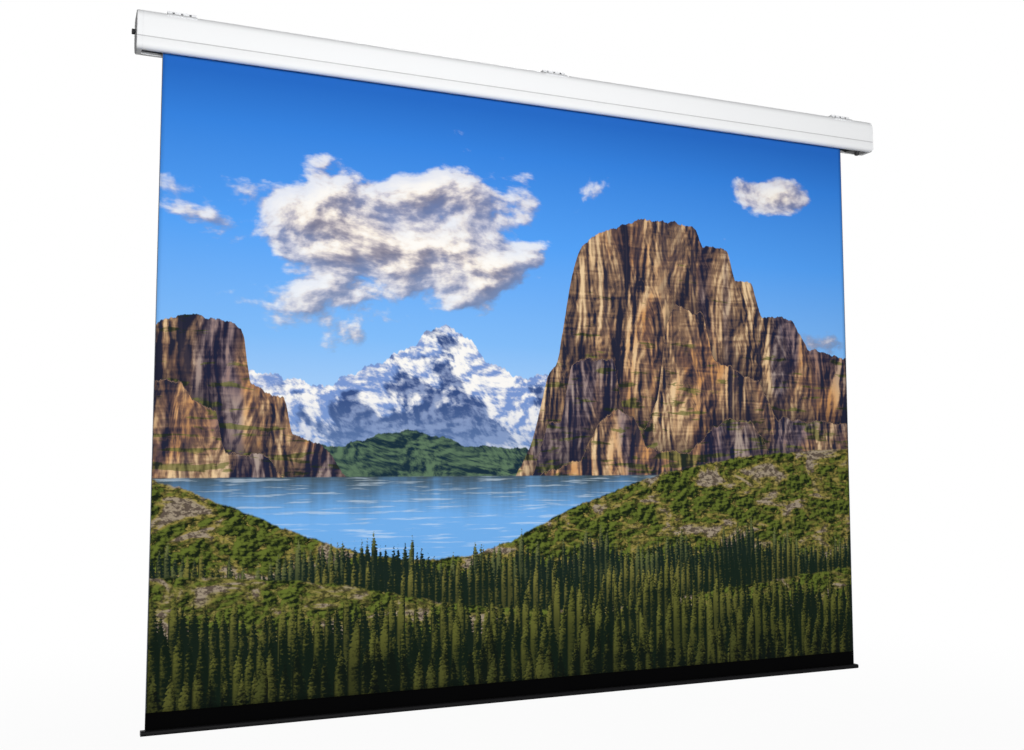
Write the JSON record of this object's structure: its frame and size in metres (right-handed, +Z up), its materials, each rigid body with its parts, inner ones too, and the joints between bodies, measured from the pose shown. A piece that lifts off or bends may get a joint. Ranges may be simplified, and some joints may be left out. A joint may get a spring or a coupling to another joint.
{
  "type": "motorized projection screen",
  "caption": "Ceiling-hung roll-up projection screen with a tubular motor in a white casing, clamp brackets and a weighted bottom bar.",
  "frame": {"origin": "centre of the middle bracket's ceiling face", "axes": "+X along the casing to the right as seen from in front, +Y towards the wall behind, +Z up, out of the ceiling face"},
  "size_m": [3.2593, 0.1588, 2.5145],
  "materials": {
    "white_paint": "smooth white powder coat",
    "bracket_paint": "white powder coat on pressed steel",
    "zinc_steel": "bright zinc plate",
    "dark_steel": "oiled machined steel",
    "black_plastic": "moulded black plastic, fine grain",
    "grey_plastic": "moulded grey plastic",
    "white_plastic": "white plastic",
    "yellow_plastic": "yellow plastic",
    "copper_winding": "enamelled copper windings in steel laminations",
    "bronze": "sintered bronze",
    "bare_aluminium": "mill-finish aluminium",
    "black_aluminium": "black anodised aluminium",
    "screen_cloth": "matt white projection cloth that carries a projected landscape",
    "black_cloth": "matt black cloth",
    "black_rubber": "black cable sheath"
  },
  "bodies": {
    "middle_bracket": {"middle_bracket": "bracket_paint"},
    "middle_clamp_screw": {"middle_clamp_screw": "zinc_steel"},
    "middle_clamp_jaw": {"middle_clamp_jaw": "zinc_steel"},
    "casing": {"casing_profile": "white_paint", "front_lower_cover": "white_paint", "left_end_cap": "white_paint", "right_end_cap": "white_paint", "left_support_plate": "zinc_steel", "right_support_plate": "zinc_steel", "slot_plate": "black_plastic", "terminal_box": "grey_plastic", "motor_lead": "black_rubber", "power_gland": "black_plastic", "left_plate_screw_1": "zinc_steel", "left_plate_screw_2": "zinc_steel", "left_plate_screw_3": "zinc_steel", "right_plate_screw_1": "zinc_steel", "right_plate_screw_2": "zinc_steel", "right_plate_screw_3": "zinc_steel", "idler_axle": "dark_steel", "axle_knob": "black_plastic", "motor_head": "black_plastic", "motor_tube": "zinc_steel", "limit_switch_block": "grey_plastic", "run_capacitor": "white_plastic", "brake_coil": "copper_winding", "stator": "copper_winding", "gearbox_shield": "zinc_steel", "ring_gear": "dark_steel", "output_bearing": "bronze", "screen_fabric": "screen_cloth"},
    "left_bracket": {"left_bracket": "bracket_paint"},
    "left_clamp_screw": {"left_clamp_screw": "zinc_steel"},
    "left_clamp_jaw": {"left_clamp_jaw": "zinc_steel"},
    "right_bracket": {"right_bracket": "bracket_paint"},
    "right_clamp_screw": {"right_clamp_screw": "zinc_steel"},
    "right_clamp_jaw": {"right_clamp_jaw": "zinc_steel"},
    "roller": {"roller_tube": "bare_aluminium", "fabric_wraps": "black_cloth", "fabric_batten": "grey_plastic", "idler_plug": "grey_plastic", "crown_wheel": "grey_plastic", "drive_wheel": "grey_plastic", "output_carrier": "dark_steel"},
    "bar": {"bottom_bar": "black_aluminium", "left_bar_cap": "black_plastic", "right_bar_cap": "black_plastic", "lower_border": "black_cloth"},
    "first_carrier": {"first_carrier": "dark_steel"},
    "rotor": {"rotor_core": "dark_steel", "rotor_shaft": "dark_steel", "brake_disc": "dark_steel"},
    "limit_screw_up": {"limit_screw_up": "white_plastic"},
    "limit_screw_down": {"limit_screw_down": "yellow_plastic"},
    "output_planet_1": {"output_planet_1": "dark_steel"},
    "output_planet_2": {"output_planet_2": "dark_steel"},
    "output_planet_3": {"output_planet_3": "dark_steel"},
    "input_planet_1": {"input_planet_1": "dark_steel"},
    "input_planet_2": {"input_planet_2": "dark_steel"},
    "input_planet_3": {"input_planet_3": "dark_steel"}
  },
  "joints": [
    {"name": "casing_slide", "type": "slide", "parent": "middle_bracket", "child": "casing", "axis": [1, 0, 0], "range_m": [-0.5, 0.5]},
    {"name": "left_bracket_slide", "type": "slide", "parent": "casing", "child": "left_bracket", "axis": [1, 0, 0], "range_m": [-0.08, 0.8]},
    {"name": "right_bracket_slide", "type": "slide", "parent": "casing", "child": "right_bracket", "axis": [1, 0, 0], "range_m": [-0.8, 0.09]},
    {"name": "roller_spin", "type": "hinge", "parent": "casing", "child": "roller", "pos_m": [0, 0.01535, -0.0725], "axis": [-1, 0, 0], "range_deg": [0, 3104]},
    {"name": "bar_lift", "type": "slide", "parent": "casing", "child": "bar", "axis": [0, 0, 1], "range_m": [0, 2.357], "deforming": ["screen_fabric"]},
    {"name": "first_carrier_spin", "type": "hinge", "parent": "casing", "child": "first_carrier", "pos_m": [1.064, 0.01535, -0.0725], "axis": [-1, 0, 0], "range_deg": [0, 27946]},
    {"name": "rotor_spin", "type": "hinge", "parent": "casing", "child": "rotor", "pos_m": [1.15, 0.01535, -0.0725], "axis": [-1, 0, 0], "range_deg": [0, 251524]},
    {"name": "output_planet_1_spin", "type": "hinge", "parent": "roller", "child": "output_planet_1", "pos_m": [1.053, 0.01535, -0.0626], "axis": [-1, 0, 0], "range_deg": [-7100, 0]},
    {"name": "output_planet_2_spin", "type": "hinge", "parent": "roller", "child": "output_planet_2", "pos_m": [1.053, 0.00678, -0.07745], "axis": [-1, 0, 0], "range_deg": [-7100, 0]},
    {"name": "output_planet_3_spin", "type": "hinge", "parent": "roller", "child": "output_planet_3", "pos_m": [1.053, 0.02392, -0.07745], "axis": [-1, 0, 0], "range_deg": [-7100, 0]},
    {"name": "input_planet_1_spin", "type": "hinge", "parent": "first_carrier", "child": "input_planet_1", "pos_m": [1.075, 0.01535, -0.0626], "axis": [-1, 0, 0], "range_deg": [-63900, 0]},
    {"name": "input_planet_2_spin", "type": "hinge", "parent": "first_carrier", "child": "input_planet_2", "pos_m": [1.075, 0.00678, -0.07745], "axis": [-1, 0, 0], "range_deg": [-63900, 0]},
    {"name": "input_planet_3_spin", "type": "hinge", "parent": "first_carrier", "child": "input_planet_3", "pos_m": [1.075, 0.02392, -0.07745], "axis": [-1, 0, 0], "range_deg": [-63900, 0]},
    {"name": "limit_screw_up_turn", "type": "hinge", "parent": "casing", "child": "limit_screw_up", "pos_m": [1.4923, 0.01535, -0.0725], "axis": [0, -0.4375, -0.8992], "range_deg": [-1080, 1080]},
    {"name": "limit_screw_down_turn", "type": "hinge", "parent": "casing", "child": "limit_screw_down", "pos_m": [1.5033, 0.01535, -0.0725], "axis": [0, -0.4375, -0.8992], "range_deg": [-1080, 1080]},
    {"name": "middle_clamp_turn", "type": "hinge", "parent": "middle_bracket", "child": "middle_clamp_screw", "pos_m": [0, 0.08, -0.0465], "axis": [0, 1, 0], "range_deg": [0, 1981]},
    {"name": "middle_jaw_slide", "type": "slide", "parent": "middle_bracket", "child": "middle_clamp_jaw", "axis": [0, 1, 0], "range_m": [0, 0.0055]},
    {"name": "left_clamp_turn", "type": "hinge", "parent": "left_bracket", "child": "left_clamp_screw", "pos_m": [-1.466, 0.08, -0.0465], "axis": [0, 1, 0], "range_deg": [0, 1981]},
    {"name": "left_jaw_slide", "type": "slide", "parent": "left_bracket", "child": "left_clamp_jaw", "axis": [0, 1, 0], "range_m": [0, 0.0055]},
    {"name": "right_clamp_turn", "type": "hinge", "parent": "right_bracket", "child": "right_clamp_screw", "pos_m": [1.466, 0.08, -0.0465], "axis": [0, 1, 0], "range_deg": [0, 1981]},
    {"name": "right_jaw_slide", "type": "slide", "parent": "right_bracket", "child": "right_clamp_jaw", "axis": [0, 1, 0], "range_m": [0, 0.0055]}
  ],
  "couplings": [
    {"joint": "bar_lift", "follows": "roller_spin", "m_per_rad": 0.0435},
    {"joint": "first_carrier_spin", "follows": "roller_spin", "ratio": 9},
    {"joint": "rotor_spin", "follows": "roller_spin", "ratio": 81},
    {"joint": "output_planet_1_spin", "follows": "roller_spin", "ratio": -2.2857},
    {"joint": "output_planet_2_spin", "follows": "roller_spin", "ratio": -2.2857},
    {"joint": "output_planet_3_spin", "follows": "roller_spin", "ratio": -2.2857},
    {"joint": "input_planet_1_spin", "follows": "roller_spin", "ratio": -20.571},
    {"joint": "input_planet_2_spin", "follows": "roller_spin", "ratio": -20.571},
    {"joint": "input_planet_3_spin", "follows": "roller_spin", "ratio": -20.571},
    {"joint": "middle_clamp_turn", "follows": "middle_jaw_slide", "rad_per_m": 6283.2},
    {"joint": "left_clamp_turn", "follows": "left_jaw_slide", "rad_per_m": 6283.2},
    {"joint": "right_clamp_turn", "follows": "right_jaw_slide", "rad_per_m": 6283.2}
  ]
}
